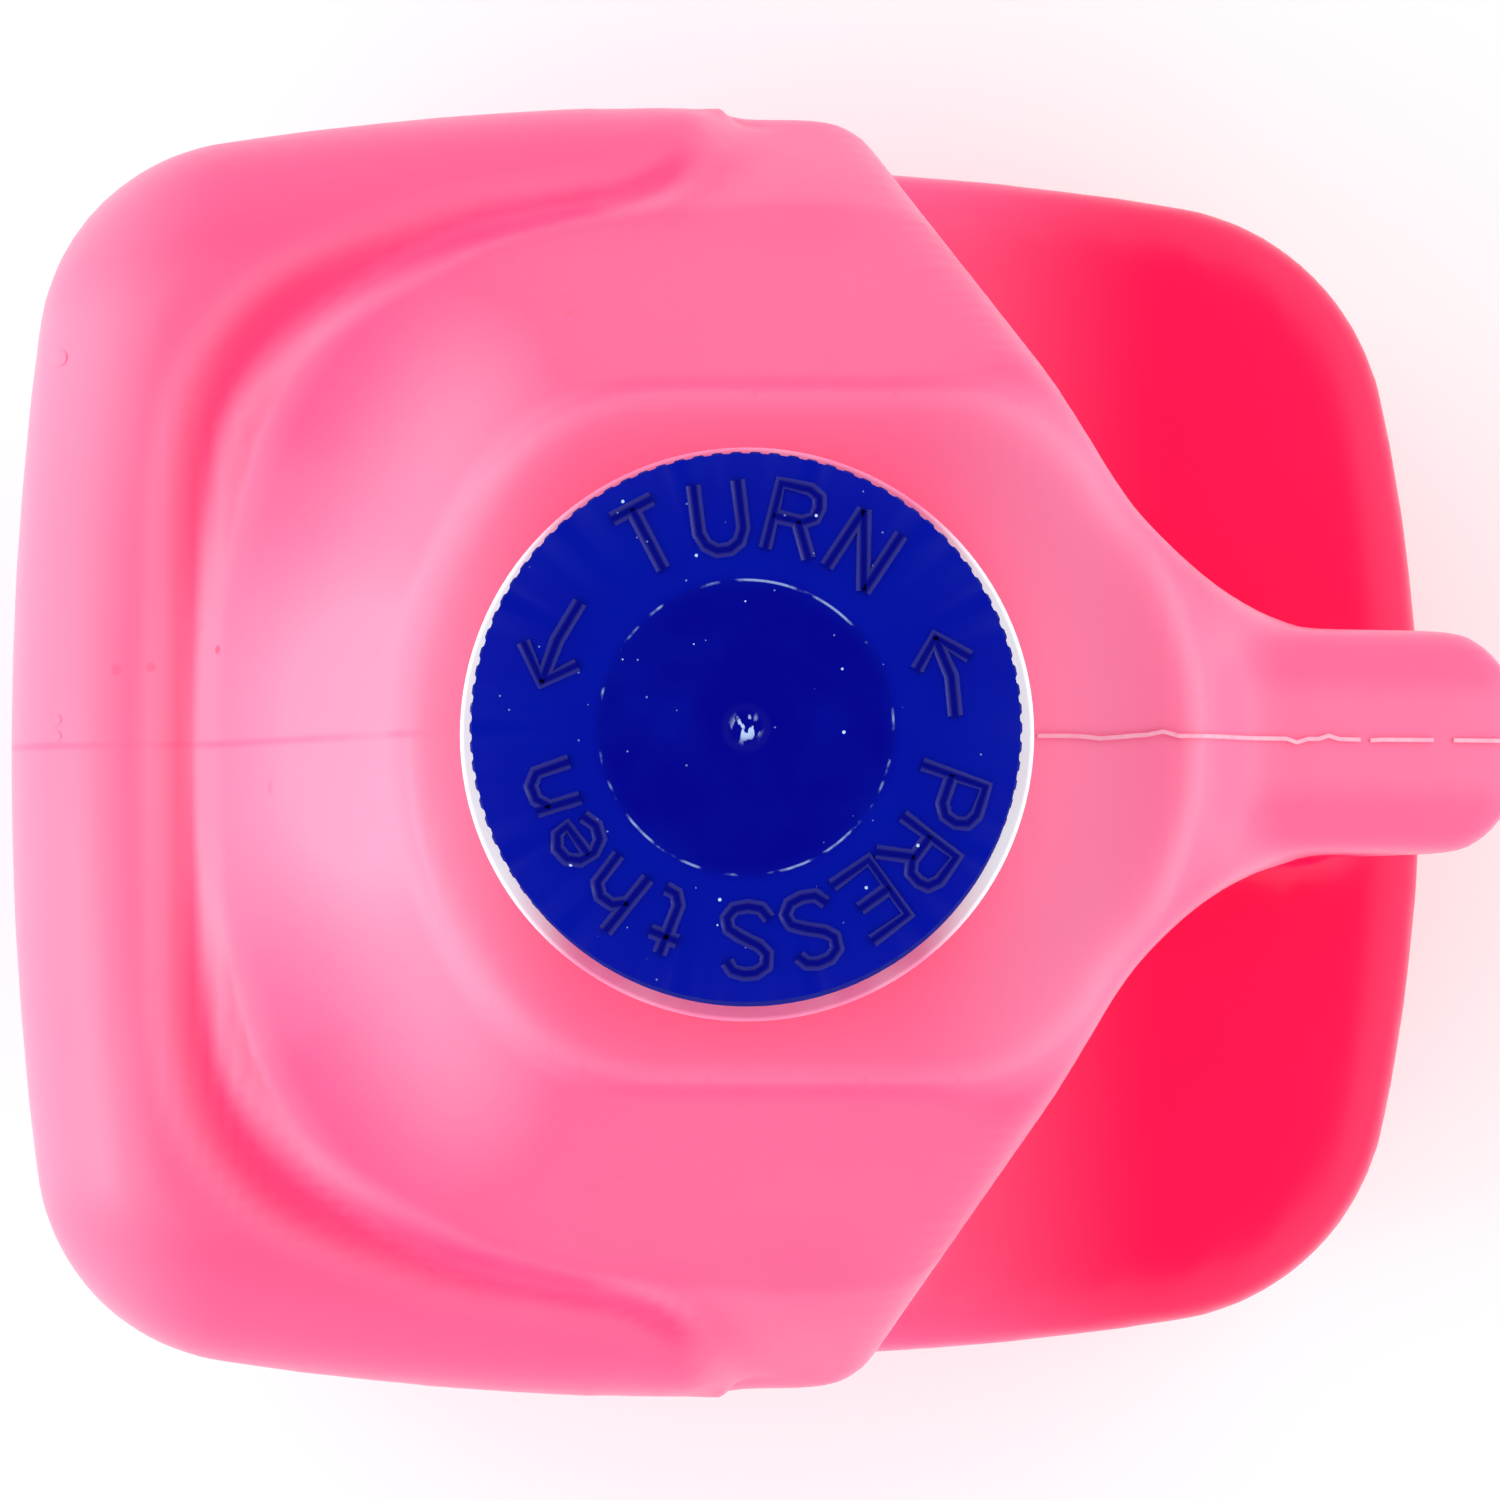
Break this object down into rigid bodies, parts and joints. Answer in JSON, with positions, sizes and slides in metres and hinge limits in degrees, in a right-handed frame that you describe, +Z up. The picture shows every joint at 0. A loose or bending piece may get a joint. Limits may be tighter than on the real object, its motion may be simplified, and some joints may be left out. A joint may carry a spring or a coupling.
{
  "type": "denatured alcohol bottle",
  "caption": "Blow-moulded handled jug of pink alcohol, with a stepped shoulder, a hollow side handle and a ribbed blue push-and-turn cap.",
  "frame": {"origin": "on the stand surface, below the middle of the body, on the neck axis", "axes": "+Z up along the neck axis, +X towards the handle, +Y to the side"},
  "size_m": [0.1366, 0.1196, 0.22],
  "materials": {
    "milky_wall": "satin, milky, with the pink fill showing through",
    "pink_alcohol": "clear dyed liquid",
    "foam": "foam sheet",
    "inner_shell": "moulded, unpigmented",
    "blue_shell": "moulded, satin"
  },
  "bodies": {
    "jug": {"bottle": "milky_wall", "alcohol": "pink_alcohol"},
    "seal": {"cap_liner": "foam"},
    "inner_shell": {"inner_cap": "inner_shell"},
    "outer_shell": {"outer_cap": "blue_shell"}
  },
  "joints": [
    {"name": "cap_rise", "type": "slide", "parent": "jug", "child": "seal", "axis": [0, 0, 1], "range_m": [0, 0.0053]},
    {"name": "cap_turn", "type": "hinge", "parent": "seal", "child": "inner_shell", "pos_m": [0, 0, 0.21], "axis": [0, 0, 1], "range_deg": [0, 450]},
    {"name": "cap_press", "type": "slide", "parent": "inner_shell", "child": "outer_shell", "axis": [0, 0, -1], "range_m": [0, 0.0013], "stiffness_N_per_m": 5000, "springref_m": -0.0004}
  ],
  "couplings": [
    {"joint": "cap_rise", "follows": "cap_turn", "m_per_rad": 0.0006737}
  ]
}
